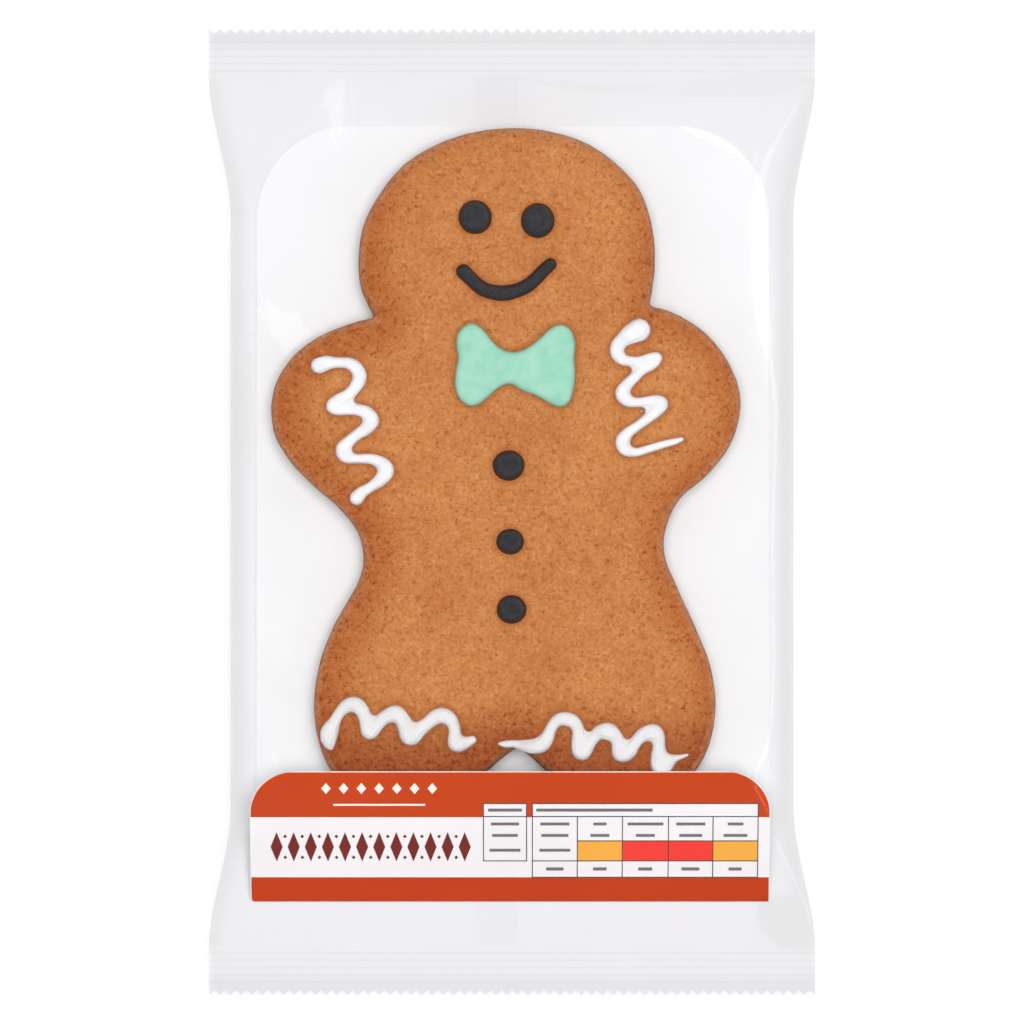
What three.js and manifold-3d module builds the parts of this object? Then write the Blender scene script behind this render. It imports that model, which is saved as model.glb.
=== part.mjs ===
// A gingerbread biscuit on its folded card, sealed in a clear flow-wrap packet that lies on its back.
// The packet is one closed solid: the film stretched over what is inside, with a crimped seal at each end.
// Millimetres, +Z up. The biscuit's head points along +Y, and the back of the packet rests on z = 0.

import * as THREE from 'three';
import { mergeVertices } from 'three/addons/utils/BufferGeometryUtils.js';
import Module from 'manifold-3d';

const { lerp, clamp, smoothstep } = THREE.MathUtils;

// The film
const packetLength = 200; // over the points of both end seals
const sealWidth = 125.4; // the film's full flat width, at the end seals
const waistWidth = 116.4; // between the sides where the packet is full
const waistEnd = 61; // distance from the middle at which the sides start to widen
const sealLevel = 3.6; // height of the seals over the surface
const sealThickness = 0.6;
const sealDepth = 9.2; // from the points to the inner edge of the ribs
const sealLap = 1; // how far a seal strip runs into the filled part, so that they join
const backRounding = 8; // width over which the flat back turns up into the sides
const backEnd = 80.4; // distance from the middle at which the back lifts towards a seal

// The crimp of the end seals
const ribPitch = 1.5;
const ribHeight = 0.25;
const toothPitch = 2.2;
const toothDepth = 1;

// What holds the front of the film up, from the foot seal to the head seal: the place along the
// packet, the height there, the height of the side edges, and half the width that is held level.
const sealInner = packetLength / 2 - sealDepth;
const sealTop = sealLevel + sealThickness / 2;
const stations = [
  { y: -sealInner, top: sealTop, edge: sealLevel, level: 50 },
  { y: -80.4, top: 6.4, edge: 3.8, level: 47 }, // the card's fold
  { y: -54, top: 12.3, edge: 5.2, level: 46 }, // the upper edge of the card's flap
  { y: -39, top: 12.6, edge: 5.4, level: 42 }, // the feet
  { y: 22, top: 12.6, edge: 5.4, level: 43 }, // the hands
  { y: 55, top: 12.5, edge: 4.6, level: 25 }, // the cheeks
  { y: 76, top: 11.2, edge: 3.9, level: 12 }, // the crown of the head
  { y: sealInner, top: sealTop, edge: sealLevel, level: 50 },
];

// The loft
const columns = 30; // points across each face of a section
const ringStep = 4; // longest distance between two sections

function halfWidthAt(y) {
  const narrowing = 1 - smoothstep(Math.abs(y), waistEnd, sealInner);
  return sealWidth / 2 - narrowing * (sealWidth - waistWidth) / 2;
}

function heldAt(y) {
  const next = Math.max(1, stations.findIndex((station) => station.y >= y));
  const from = stations[next - 1];
  const to = stations[next];
  const share = (y - from.y) / (to.y - from.y);
  return {
    top: lerp(from.top, to.top, share),
    edge: lerp(from.edge, to.edge, share),
    level: lerp(from.level, to.level, share),
  };
}

function backAt(y) {
  const lift = clamp((Math.abs(y) - backEnd) / (sealInner - backEnd), 0, 1);
  return lift * (sealLevel - sealThickness / 2);
}

function roundOver(share) {
  return Math.sqrt(Math.max(0, 1 - share * share));
}

// One closed section of the packet: across the front of the film, then back across its rear.
function sectionAt(y) {
  const halfWidth = halfWidthAt(y);
  const held = heldAt(y);
  const edgeTop = held.edge + sealThickness / 2;
  const edgeBottom = held.edge - sealThickness / 2;
  const front = [];
  const back = [];
  for (let column = 0; column < columns; column += 1) {
    const across = Math.sin((column / (columns - 1) - 0.5) * Math.PI);
    const x = across * halfWidth;
    const reach = Math.abs(x);
    const frontShare = clamp((reach - held.level) / (halfWidth - held.level), 0, 1);
    const backShare = clamp((reach - halfWidth + backRounding) / backRounding, 0, 1);
    const frontZ = lerp(edgeTop, held.top, roundOver(frontShare));
    const backZ = lerp(edgeBottom, backAt(y), roundOver(backShare));
    front.push(new THREE.Vector3(x, y, frontZ));
    back.unshift(new THREE.Vector3(x, y, backZ));
  }
  return [...front, ...back];
}

function sectionPlaces() {
  const places = [stations[0].y];
  for (const station of stations.slice(1)) {
    const from = places.at(-1);
    const steps = Math.ceil((station.y - from) / ringStep);
    for (let step = 1; step <= steps; step += 1) {
      places.push(lerp(from, station.y, step / steps));
    }
  }
  return places;
}

function filledPacket() {
  const rings = sectionPlaces().map(sectionAt);
  const around = rings[0].length;
  const corners = rings.flat().flatMap((point) => point.toArray());
  const faces = [];
  for (let ring = 0; ring < rings.length - 1; ring += 1) {
    for (let place = 0; place < around; place += 1) {
      const here = ring * around + place;
      const beside = ring * around + (place + 1) % around;
      faces.push(here, beside, here + around);
      faces.push(beside, beside + around, here + around);
    }
  }
  const last = (rings.length - 1) * around;
  for (let column = 0; column < columns - 1; column += 1) {
    const frontHere = column;
    const backHere = around - 1 - column;
    faces.push(frontHere, backHere, frontHere + 1);
    faces.push(frontHere + 1, backHere, backHere - 1);
    faces.push(last + frontHere, last + frontHere + 1, last + backHere);
    faces.push(last + frontHere + 1, last + backHere - 1, last + backHere);
  }
  const geometry = new THREE.BufferGeometry();
  geometry.setAttribute('position', new THREE.Float32BufferAttribute(corners, 3));
  geometry.setIndex(faces);
  return geometry;
}

// The crimp in side view: both faces of the strip ripple together.
function crimpStrip() {
  const from = sealInner - sealLap;
  const to = packetLength / 2;
  const ripple = (along) => {
    const phase = ((to - along) / ribPitch) % 1;
    return ribHeight * (1 - Math.abs(4 * phase - 2));
  };
  const steps = Math.round((to - from) / (ribPitch / 2));
  const upper = [];
  const lower = [];
  for (let step = 0; step <= steps; step += 1) {
    const along = Math.max(from, to - step * ribPitch / 2);
    upper.push(new THREE.Vector2(along, sealLevel + sealThickness / 2 + ripple(along)));
    lower.unshift(new THREE.Vector2(along, sealLevel - sealThickness / 2 + ripple(along)));
  }
  const profile = new THREE.Shape([...upper, ...lower]);
  const uncutWidth = sealWidth + 2 * sealLap;
  const strip = new THREE.ExtrudeGeometry(profile, { depth: uncutWidth, bevelEnabled: false });
  const turn = new THREE.Matrix4().makeBasis(
    new THREE.Vector3(0, 1, 0),
    new THREE.Vector3(0, 0, 1),
    new THREE.Vector3(1, 0, 0),
  );
  strip.applyMatrix4(turn);
  strip.translate(-uncutWidth / 2, 0, 0);
  return strip;
}

// The outline that the cutter leaves: straight sides and a row of points along the end.
function cutOutline() {
  const teeth = Math.round(sealWidth / toothPitch);
  const pitch = sealWidth / teeth;
  const outline = new THREE.Shape();
  outline.moveTo(-sealWidth / 2, sealInner - 2 * sealLap);
  outline.lineTo(sealWidth / 2, sealInner - 2 * sealLap);
  for (let tooth = 0; tooth < teeth; tooth += 1) {
    const right = sealWidth / 2 - tooth * pitch;
    outline.lineTo(right, packetLength / 2);
    outline.lineTo(right - pitch / 2, packetLength / 2 - toothDepth);
  }
  outline.lineTo(-sealWidth / 2, packetLength / 2);
  return new THREE.ExtrudeGeometry(outline, { depth: 2 * sealLevel, bevelEnabled: false });
}

const wasm = await Module();
wasm.setup();

function toSolid(geometry) {
  geometry.deleteAttribute('normal');
  geometry.deleteAttribute('uv');
  const merged = mergeVertices(geometry, 1e-4);
  return new wasm.Manifold(new wasm.Mesh({
    numProp: 3,
    vertProperties: Float32Array.from(merged.attributes.position.array),
    triVerts: Uint32Array.from(merged.index.array),
  }));
}

function toGeometry(solid) {
  const mesh = solid.getMesh();
  const geometry = new THREE.BufferGeometry();
  geometry.setAttribute('position', new THREE.BufferAttribute(mesh.vertProperties, 3));
  geometry.setIndex(new THREE.BufferAttribute(mesh.triVerts, 1));
  geometry.computeVertexNormals();
  return geometry;
}

function packet() {
  const headSeal = toSolid(crimpStrip()).intersect(toSolid(cutOutline()));
  const footSeal = headSeal.rotate([0, 0, 180]);
  return toSolid(filledPacket()).add(headSeal).add(footSeal);
}

const clearFilm = new THREE.MeshStandardMaterial({
  color: 0xeceaf2,
  roughness: 0.12,
  metalness: 0,
  transparent: true,
  opacity: 0.3,
});

const packetMesh = new THREE.Mesh(toGeometry(packet()), clearFilm);
packetMesh.name = 'packet';

const packedBiscuit = new THREE.Group();
packedBiscuit.add(packetMesh);

export default packedBiscuit;
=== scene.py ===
import math
import random

import bmesh
import bpy
import numpy as np
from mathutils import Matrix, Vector, noise
from mathutils.bvhtree import BVHTree
from mathutils.kdtree import KDTree


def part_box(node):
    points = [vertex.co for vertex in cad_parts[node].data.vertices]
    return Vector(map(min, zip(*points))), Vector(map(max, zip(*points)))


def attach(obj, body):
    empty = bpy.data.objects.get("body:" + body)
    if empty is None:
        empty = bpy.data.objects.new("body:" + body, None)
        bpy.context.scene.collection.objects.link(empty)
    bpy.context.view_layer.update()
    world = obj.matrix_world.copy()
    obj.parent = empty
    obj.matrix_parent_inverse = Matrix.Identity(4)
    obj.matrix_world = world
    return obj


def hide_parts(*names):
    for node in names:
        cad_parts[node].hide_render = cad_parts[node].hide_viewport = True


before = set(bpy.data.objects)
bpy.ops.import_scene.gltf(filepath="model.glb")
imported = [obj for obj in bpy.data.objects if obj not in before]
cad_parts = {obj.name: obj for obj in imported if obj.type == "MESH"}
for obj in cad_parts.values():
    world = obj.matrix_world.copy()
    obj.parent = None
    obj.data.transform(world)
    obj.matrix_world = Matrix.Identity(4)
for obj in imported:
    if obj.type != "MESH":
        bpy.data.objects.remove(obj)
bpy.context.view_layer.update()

# Everything below is worked in millimetres and turned into metres when a mesh is made.
mm = 0.001
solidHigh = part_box("packet")[1]
solidPoints = np.array([v.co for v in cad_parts["packet"].data.vertices]) / mm
sealHalf = solidHigh.x / mm
packetEnd = solidHigh.y / mm
packetDepth = solidHigh.z / mm
fromMiddle = np.abs(solidPoints[:, 1])
waistHalf = solidPoints[fromMiddle < 40][:, 0].max()  # the sides run straight over this stretch
sealHeight = float(solidPoints[fromMiddle > packetEnd - 0.5][:, 2].mean())


def smoothStep(value, low, high):
    share = np.clip((value - low) / (high - low), 0, 1)
    return share * share * (3 - 2 * share)


# A curve through given points, evened out to one point every step. Extra columns, such as a
# width, run along with it.
def smoothRun(points, step, closed=False, piecesPerSpan=20):
    pts = np.array(points, float)
    if closed:
        pts = np.vstack([pts[-1], pts, pts[0], pts[1]])
    else:
        pts = np.vstack([2 * pts[0] - pts[1], pts, 2 * pts[-1] - pts[-2]])
    run = []
    for a, b, c, d in zip(pts, pts[1:], pts[2:], pts[3:]):
        k0 = 0.0
        k1 = k0 + math.dist(a[:2], b[:2]) ** 0.5
        k2 = k1 + math.dist(b[:2], c[:2]) ** 0.5
        k3 = k2 + math.dist(c[:2], d[:2]) ** 0.5
        t = np.linspace(k1, k2, piecesPerSpan, endpoint=False)[:, None]
        ab = ((k1 - t) * a + (t - k0) * b) / (k1 - k0)
        bc = ((k2 - t) * b + (t - k1) * c) / (k2 - k1)
        cd = ((k3 - t) * c + (t - k2) * d) / (k3 - k2)
        abc = ((k2 - t) * ab + (t - k0) * bc) / (k2 - k0)
        bcd = ((k3 - t) * bc + (t - k1) * cd) / (k3 - k1)
        run.append(((k2 - t) * abc + (t - k1) * bcd) / (k2 - k1))
    run = np.vstack([*run, pts[-2][None]])
    walked = np.concatenate([[0], np.cumsum(np.linalg.norm(np.diff(run[:, :2], axis=0), axis=1))])
    places = np.linspace(0, walked[-1], max(4, round(walked[-1] / step) + 1))
    if closed:
        places = places[:-1]
    return np.stack([np.interp(places, walked, column) for column in run.T], axis=1)


def newPiece(name, points, faces, materials, smooth=True):
    mesh = bpy.data.meshes.new(name)
    mesh.from_pydata((np.asarray(points) * mm).tolist(), [], faces)
    for material in materials:
        mesh.materials.append(material)
    mesh.polygons.foreach_set("use_smooth", [smooth] * len(mesh.polygons))
    piece = bpy.data.objects.new(name, mesh)
    bpy.context.scene.collection.objects.link(piece)
    return piece


def settle(piece):
    graph = bpy.context.evaluated_depsgraph_get()
    mesh = bpy.data.meshes.new_from_object(piece.evaluated_get(graph))
    piece.modifiers.clear()
    piece.data = mesh
    mesh.polygons.foreach_set("use_smooth", [True] * len(mesh.polygons))


def evenOut(piece, grain, easing):
    remesh = piece.modifiers.new("evened", "REMESH")
    remesh.mode = "VOXEL"
    remesh.voxel_size = grain * mm
    smooth = piece.modifiers.new("eased", "SMOOTH")
    smooth.factor = 0.5
    smooth.iterations = easing
    settle(piece)


def pointsOf(piece):
    flat = np.empty(len(piece.data.vertices) * 3)
    piece.data.vertices.foreach_get("co", flat)
    return flat.reshape(-1, 3) / mm


def movePoints(piece, points):
    piece.data.vertices.foreach_set("co", (points * mm).ravel())
    piece.data.update()


def normalsOf(piece):
    flat = np.empty(len(piece.data.vertices) * 3)
    piece.data.vertices.foreach_get("normal", flat)
    return flat.reshape(-1, 3)


def giveNumber(piece, name, values):
    layer = piece.data.attributes.new(name, "FLOAT", "POINT")
    layer.data.foreach_set("value", np.asarray(values, np.float32))


# The faces between rings that have the same number of points
def ringFaces(rings, count):
    faces = []
    for ring in range(rings - 1):
        for place in range(count):
            here = ring * count + place
            beside = ring * count + (place + 1) % count
            faces.append([here, beside, beside + count, here + count])
    return faces


# Rings of an outline, moved in and up by each step of a profile, closed below and above.
def stackedRings(outline, profile):
    forward = np.roll(outline, -1, 0) - np.roll(outline, 1, 0)
    inward = np.stack([-forward[:, 1], forward[:, 0]], axis=1)
    inward /= np.linalg.norm(inward, axis=1)[:, None]
    count = len(outline)
    points = []
    for inset, height in profile:
        ring = outline + inset * inward
        points.append(np.column_stack([ring, np.full(count, height)]))
    lowest = list(range(count))
    top = [place + (len(profile) - 1) * count for place in lowest]
    return np.vstack(points), [lowest[::-1], *ringFaces(len(profile), count), top]


def treeOf(pieces):
    points = []
    faces = []
    for piece in pieces:
        start = len(points)
        points.extend(v.co / mm for v in piece.data.vertices)
        faces.extend([start + i for i in p.vertices] for p in piece.data.polygons)
    return BVHTree.FromPolygons(points, faces)


def heightFrom(tree, x, y, otherwise):
    hit = tree.ray_cast(Vector((x, y, 60)), Vector((0, 0, -1)))[0]
    return otherwise if hit is None else hit.z


# A colour as a screen gives it, each channel from 0 to 255
def tone(red, green, blue):
    shares = [channel / 255 for channel in (red, green, blue)]
    linear = [share / 12.92 if share < 0.04 else ((share + 0.055) / 1.055) ** 2.4 for share in shares]
    return (*linear, 1.0)


def addNode(tree, kind, inputs=None, **settings):
    made = tree.nodes.new(kind)
    for key, value in settings.items():
        setattr(made, key, value)
    for name, value in (inputs or {}).items():
        if isinstance(value, bpy.types.NodeSocket):
            tree.links.new(value, made.inputs[name])
        else:
            made.inputs[name].default_value = value
    return made


def newFinish(name):
    material = bpy.data.materials.new(name)
    material.use_nodes = True
    tree = material.node_tree
    tree.nodes.clear()
    out = addNode(tree, "ShaderNodeOutputMaterial")
    where = addNode(tree, "ShaderNodeTexCoord")
    inMm = addNode(tree, "ShaderNodeVectorMath", {0: where.outputs["Object"]}, operation="SCALE")
    inMm.inputs["Scale"].default_value = 1 / mm
    return material, tree, out, inMm.outputs[0]


def noiseAt(tree, at, scale, detail, roughness=0.5, offset=0.0):
    if offset:
        shift = (offset, offset, offset)
        at = addNode(tree, "ShaderNodeVectorMath", {0: at, 1: shift}, operation="ADD").outputs[0]
    inputs = {"Vector": at, "Scale": scale, "Detail": detail, "Roughness": roughness}
    return addNode(tree, "ShaderNodeTexNoise", inputs).outputs["Fac"]


def ranged(tree, value, low, high, toLow=0.0, toHigh=1.0, ease="LINEAR"):
    inputs = {"Value": value, "From Min": low, "From Max": high, "To Min": toLow, "To Max": toHigh}
    return addNode(tree, "ShaderNodeMapRange", inputs, interpolation_type=ease).outputs["Result"]


def mixed(tree, share, first, second, blend="MIX"):
    made = addNode(tree, "ShaderNodeMix", data_type="RGBA", blend_type=blend)
    for index, value in ((0, share), (6, first), (7, second)):
        if isinstance(value, bpy.types.NodeSocket):
            tree.links.new(value, made.inputs[index])
        else:
            made.inputs[index].default_value = value
    return made.outputs[2]


def sums(tree, first, second, operation):
    return addNode(tree, "ShaderNodeMath", {0: first, 1: second}, operation=operation).outputs[0]


def bumped(tree, height, depth, strength):
    inputs = {"Height": height, "Distance": depth * mm, "Strength": strength}
    return addNode(tree, "ShaderNodeBump", inputs).outputs["Normal"]


def closeFinish(tree, out, colour, roughness, normal, specular):
    inputs = {"Base Color": colour, "Roughness": roughness, "Specular IOR Level": specular}
    if normal is not None:
        inputs["Normal"] = normal
    shader = addNode(tree, "ShaderNodeBsdfPrincipled", inputs)
    tree.links.new(shader.outputs[0], out.inputs["Surface"])


def assignPiece(piece):
    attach(piece, "root")
    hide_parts("packet")


biscuit = {
    "rest": 0.6,            # height of its underside
    "thickness": 8.3,       # at the rim
    "dome": 1.0,            # how much higher the middle is
    "domeReach": 22.0,      # distance from the rim over which it rises
    "grain": 0.5,           # size of the mesh's squares
    "swellSize": (13.0, 13.0, 9.0),
    "swell": 0.16,          # how uneven its top is
    "sideSwell": 0.1,
    "crumbSizes": (2.6, 1.2),
    "crumbHeight": 0.055,
    "pits": 1300,
    "pitDepth": 0.24,
    "pitRadii": (0.3, 0.66),
    "pitStretch": (1.0, 1.6),
    "contactShadeReach": 0.75,     # how far the painted contact shade beside the icing reaches
    "seed": 7,
}
# Three runs between the two creases of the neck and the one between the legs
headRun = [
    (28.2, 42.4), (28.8, 45.5), (29.5, 51.6), (28.8, 59.3), (26.5, 66.1), (22.0, 71.5), (14.8, 76.4),
    (6.9, 78.8), (0.1, 79.3), (-7.3, 78.5), (-14.8, 76.2), (-22.0, 71.9), (-27.8, 64.9), (-30.7, 58.7),
    (-31.6, 51.6), (-31.1, 46.3), (-29.9, 43.2), (-28.2, 40.1),
]
leftRun = [
    (-28.2, 40.1), (-30.9, 39.6), (-34.2, 38.6), (-40.0, 36.1), (-45.1, 32.2), (-48.4, 27.3), (-49.7, 22.1),
    (-48.9, 15.9), (-45.8, 10.5), (-40.8, 5.4), (-35.6, 0.8), (-32.1, -3.7), (-30.7, -8.5), (-31.3, -13.4),
    (-33.4, -17.6), (-36.9, -24.0), (-39.6, -31.2), (-40.8, -39.5), (-40.0, -47.1), (-37.3, -53.5),
    (-31.7, -58.1), (-22.2, -59.7), (-12.3, -57.6), (-6.3, -54.3), (-1.8, -50.6), (1.1, -48.6),
]
rightRun = [
    (1.1, -48.6), (4.0, -50.6), (9.2, -55.2), (16.2, -58.7), (25.7, -59.7), (33.6, -57.4), (38.7, -52.3),
    (41.2, -46.3), (42.0, -39.5), (40.8, -31.4), (37.7, -23.6), (34.0, -15.5), (31.5, -9.3), (31.5, -4.3),
    (34.4, 2.5), (39.8, 7.2), (44.5, 13.0), (46.8, 19.0), (47.0, 24.6), (44.9, 30.4), (41.0, 35.9),
    (35.6, 39.9), (31.5, 41.7), (28.2, 42.4),
]


def biscuitOutline():
    runs = [smoothRun(run, 0.6)[:-1] for run in (headRun, leftRun, rightRun)]
    return np.vstack(runs)


def rimDistance(points, outline):
    rim = KDTree(len(outline))
    for index, (x, y) in enumerate(outline):
        rim.insert((x, y, 0), index)
    rim.balance()
    return np.array([rim.find((x, y, 0))[2] for x, y in points[:, :2]])


# Small craters and short cracks, deepest in their middle. Returns each point's depth share.
def pitDepths(points, rng):
    depth = np.zeros(len(points))
    low = points[:, :2].min(0)
    high = points[:, :2].max(0)
    smallest, largest = biscuit["pitRadii"]
    order = np.argsort(points[:, 1])
    sortedY = points[order, 1]
    for _ in range(biscuit["pits"]):
        centre = (rng.uniform(low[0], high[0]), rng.uniform(low[1], high[1]))
        radius = smallest + (largest - smallest) * rng.random() ** 3
        stretch = rng.uniform(*biscuit["pitStretch"])
        turn = rng.uniform(0, math.pi)
        strength = 0.25 + 0.75 * rng.random() ** 1.6
        reach = radius * stretch
        first, last = np.searchsorted(sortedY, (centre[1] - reach, centre[1] + reach))
        near = order[first:last]
        dx = points[near, 0] - centre[0]
        dy = points[near, 1] - centre[1]
        along = (dx * math.cos(turn) + dy * math.sin(turn)) / reach
        across = (dy * math.cos(turn) - dx * math.sin(turn)) / radius
        fall = np.clip(1 - along ** 2 - across ** 2, 0, 1) ** 0.8
        depth[near] = np.maximum(depth[near], strength * fall)
    return depth


def bakedSurface(piece, outline, rng):
    points = pointsOf(piece)
    edge = rimDistance(points, outline)
    base = biscuit["rest"]
    thick = biscuit["thickness"]
    upper = smoothStep(points[:, 2], base + 0.55 * thick, base + 0.92 * thick)
    inside = np.clip(edge / biscuit["domeReach"], 0, 1)
    lift = biscuit["dome"] * (1 - (1 - inside) ** 2)
    swell = np.empty(len(points))
    fine = np.empty(len(points))
    coarse, finest = biscuit["crumbSizes"]
    for index, point in enumerate(points):
        swell[index] = noise.noise(point / biscuit["swellSize"])
        fine[index] = noise.noise(point / coarse) + 0.6 * noise.noise(point / finest)
    pits = pitDepths(points, rng) * upper
    normals = normalsOf(piece)
    free = smoothStep(points[:, 2], base + 0.2, base + 1.2)  # the underside stays flat
    rough = free * (biscuit["crumbHeight"] * fine + biscuit["sideSwell"] * swell)
    points[:, 2] += upper * (lift + biscuit["swell"] * swell)
    points += normals * (rough - biscuit["pitDepth"] * pits)[:, None]
    movePoints(piece, points)
    giveNumber(piece, "rim", edge)
    giveNumber(piece, "pit", pits)
    giveNumber(piece, "side", 1 - smoothStep(points[:, 2], base + 3.5, base + 7.2))


# Tones of the crust. The last four are laid over the others, as a glaze is; the speck tone also
# darkens the pits, as specks and as painted shade in the hollows.
bakedTones = {
    "crumb": tone(207, 139, 79),
    "deepCrumb": tone(199, 127, 69),
    "browned": tone(182, 102, 49),
    "sideTone": tone(146, 99, 64),
    "rimLightTone": tone(218, 152, 108),
    "footTone": tone(157, 78, 35),
    "mottle": (0.76, 0.52, 0.31, 1.0),
    "fleck": (0.64, 0.39, 0.17, 1.0),
    "speckAndPitShade": (0.49, 0.26, 0.07, 1.0),
    "paleFleck": (1.13, 1.3, 1.7, 1.0),
}
# What the crust is speckled with: scale, detail, roughness and offset of each noise
crustNoise = {
    "broad": (0.09, 3.0, 0.5, 0.0),
    "grain": (1.5, 3.0, 0.62, 0.0),
    "mottle": (0.42, 4.0, 0.62, 31.0),
    "flecks": (1.0, 3.0, 0.6, 77.0),
    "specks": (1.6, 1.0, 0.5, 211.0),
    "pale": (1.2, 2.0, 0.6, 143.0),
    "relief": (2.4, 2.0, 0.6, 0.0),
}
# Its glazes: tone, what it follows, where it starts, where it is full, how strong it is there
crustGlazes = [
    ("mottle", "mottle", 0.44, 0.72, 0.5),
    ("paleFleck", "pale", 0.52, 0.74, 0.9),
    ("fleck", "flecks", 0.54, 0.72, 0.8),
    ("speckAndPitShade", "specks", 0.66, 0.75, 0.7),
    # in the pits: specks, and painted shade in the hollows
    ("speckAndPitShade", "pit", 0.25, 0.8, 0.42),
]
# Where it is browned; the rim counts as further in towards the crown and the right side, as painted light
browningAndLight = {
    "full": 1.0, "none": 10.0, "share": 0.85, "ragged": 2.0,
    "crown": (50.0, 76.0, 4.5), "sides": (-40.0, 40.0, -1.4, 1.8),
    "feet": (-36.0, -53.0, 0.84),
    "pale": (0.2, 1.6, 0.62),              # painted light along the edge of the top, against the rim's shade
    "speckled": (2.0, 12.0, 1.5, 0.92),    # stronger towards the rim
    "speckledFeet": 0.7,
    "icingContactShade": 0.5,                          # painted contact shade on the crumb beside the icing
    "grain": (0.34, 0.66, 0.865, 1.12),
}


def gingerbreadFinish():
    material, tree, out, at = newFinish("gingerbread")
    split = addNode(tree, "ShaderNodeSeparateXYZ", {0: at})
    across = split.outputs["X"]
    up = split.outputs["Y"]
    crust = {name: noiseAt(tree, at, *look) for name, look in crustNoise.items()}
    for name in ("rim", "pit", "side", "icingContactShade"):
        crust[name] = addNode(tree, "ShaderNodeAttribute", attribute_name=name).outputs["Fac"]
    share = ranged(tree, crust["broad"], 0.35, 0.68)
    body = mixed(tree, share, bakedTones["crumb"], bakedTones["deepCrumb"])

    # browned towards the rim and darker at the feet, by browning and by painted shade under the flap;
    # the crown and the right side are less browned as painted light from the top and the right
    ragged = browningAndLight["ragged"]
    depth = sums(tree, crust["rim"], ranged(tree, crust["mottle"], 0.3, 0.7, -ragged, ragged), "ADD")
    low, high, most = browningAndLight["crown"]
    depth = sums(tree, depth, ranged(tree, up, low, high, 0.0, most, "SMOOTHSTEP"), "ADD")
    depth = sums(tree, depth, ranged(tree, across, *browningAndLight["sides"]), "ADD")
    full, none = browningAndLight["full"], browningAndLight["none"]
    brownAndLightShare = ranged(tree, depth, full, none, browningAndLight["share"], 0.0, "SMOOTHERSTEP")
    body = mixed(tree, brownAndLightShare, body, bakedTones["browned"])
    # darker at the feet: browning, and painted shade under the flap
    low, high, most = browningAndLight["feet"]
    foot = ranged(tree, up, low, high, 0.0, most, "SMOOTHSTEP")
    body = mixed(tree, foot, body, bakedTones["footTone"])
    # painted light along the rim, against its shade
    low, high, most = browningAndLight["pale"]
    body = mixed(tree, ranged(tree, crust["rim"], low, high, most, 0.0), body, bakedTones["rimLightTone"])
    body = mixed(tree, crust["side"], body, bakedTones["sideTone"])

    # speckled, most of all where it is browned
    stronger = ranged(tree, depth, *browningAndLight["speckled"])
    stronger = sums(tree, stronger, sums(tree, foot, browningAndLight["speckledFeet"], "MULTIPLY"), "ADD")
    for name, follows, low, high, most in crustGlazes:
        share = sums(tree, ranged(tree, crust[follows], low, high, 0.0, most), stronger, "MULTIPLY")
        body = mixed(tree, share, body, bakedTones[name], "MULTIPLY")
    # painted contact shade on the crumb beside the icing
    contactShaded = sums(tree, crust["icingContactShade"], browningAndLight["icingContactShade"], "MULTIPLY")
    body = mixed(tree, contactShaded, body, bakedTones["footTone"])
    body = mixed(tree, 1.0, body, ranged(tree, crust["grain"], *browningAndLight["grain"]), "MULTIPLY")
    closeFinish(tree, out, body, 0.8, bumped(tree, crust["relief"], 0.13, 0.6), 0.15)
    return material


def makeBiscuit():
    outline = biscuitOutline()
    base = biscuit["rest"]
    thick = biscuit["thickness"]
    # each step of the side: how far in, how high
    profile = [
        (1.3, base), (0.55, base + 0.15), (0.15, base + 0.6), (0.0, base + 1.5),
        (-0.12, base + 0.42 * thick), (0.0, base + 0.66 * thick), (0.35, base + 0.82 * thick),
        (0.95, base + 0.925 * thick), (1.8, base + 0.98 * thick), (3.0, base + thick),
    ]
    points, faces = stackedRings(outline, profile)
    piece = newPiece("gingerbreadMan", points, faces, [gingerbreadFinish()])
    evenOut(piece, biscuit["grain"], 3)
    bakedSurface(piece, outline, random.Random(biscuit["seed"]))
    assignPiece(piece)
    return piece


gingerbreadMan = makeBiscuit()
print("biscuit baked:", len(gingerbreadMan.data.polygons), "faces")
biscuitTree = treeOf([gingerbreadMan])


icingFootShadeTone = tone(96, 56, 34)
# Each icing's colour, the tone of its patches and of its sides, the height up to which the sides'
# tone shows, how rough it is, and the scale of the patches. The sides' tone is painted shade.
icingLooks = {
    "whiteIcing": {
        "colour": tone(246, 246, 247), "patches": tone(238, 240, 243), "sides": tone(246, 240, 236),
        "sideReach": 1.05, "roughness": 0.42, "patchScale": 0.5,
    },
    # the white icing painted greyer on the cuffs: painted shade low on the legs
    "shadedCuffIcing": {
        "colour": tone(236, 234, 233), "patches": tone(229, 228, 228), "sides": tone(236, 227, 222),
        "sideReach": 1.05, "roughness": 0.42, "patchScale": 0.5,
    },
    "blackIcing": {
        "colour": tone(49, 46, 49), "patches": tone(32, 34, 41), "sides": tone(20, 11, 9),
        "sideReach": 1.3, "roughness": 0.34, "patchScale": 1.1,
    },
    "mintIcing": {
        "colour": tone(166, 219, 197), "patches": tone(147, 211, 185), "sides": tone(158, 210, 185),
        "sideReach": 1.05, "roughness": 0.4, "patchScale": 0.33,
    },
}


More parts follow.
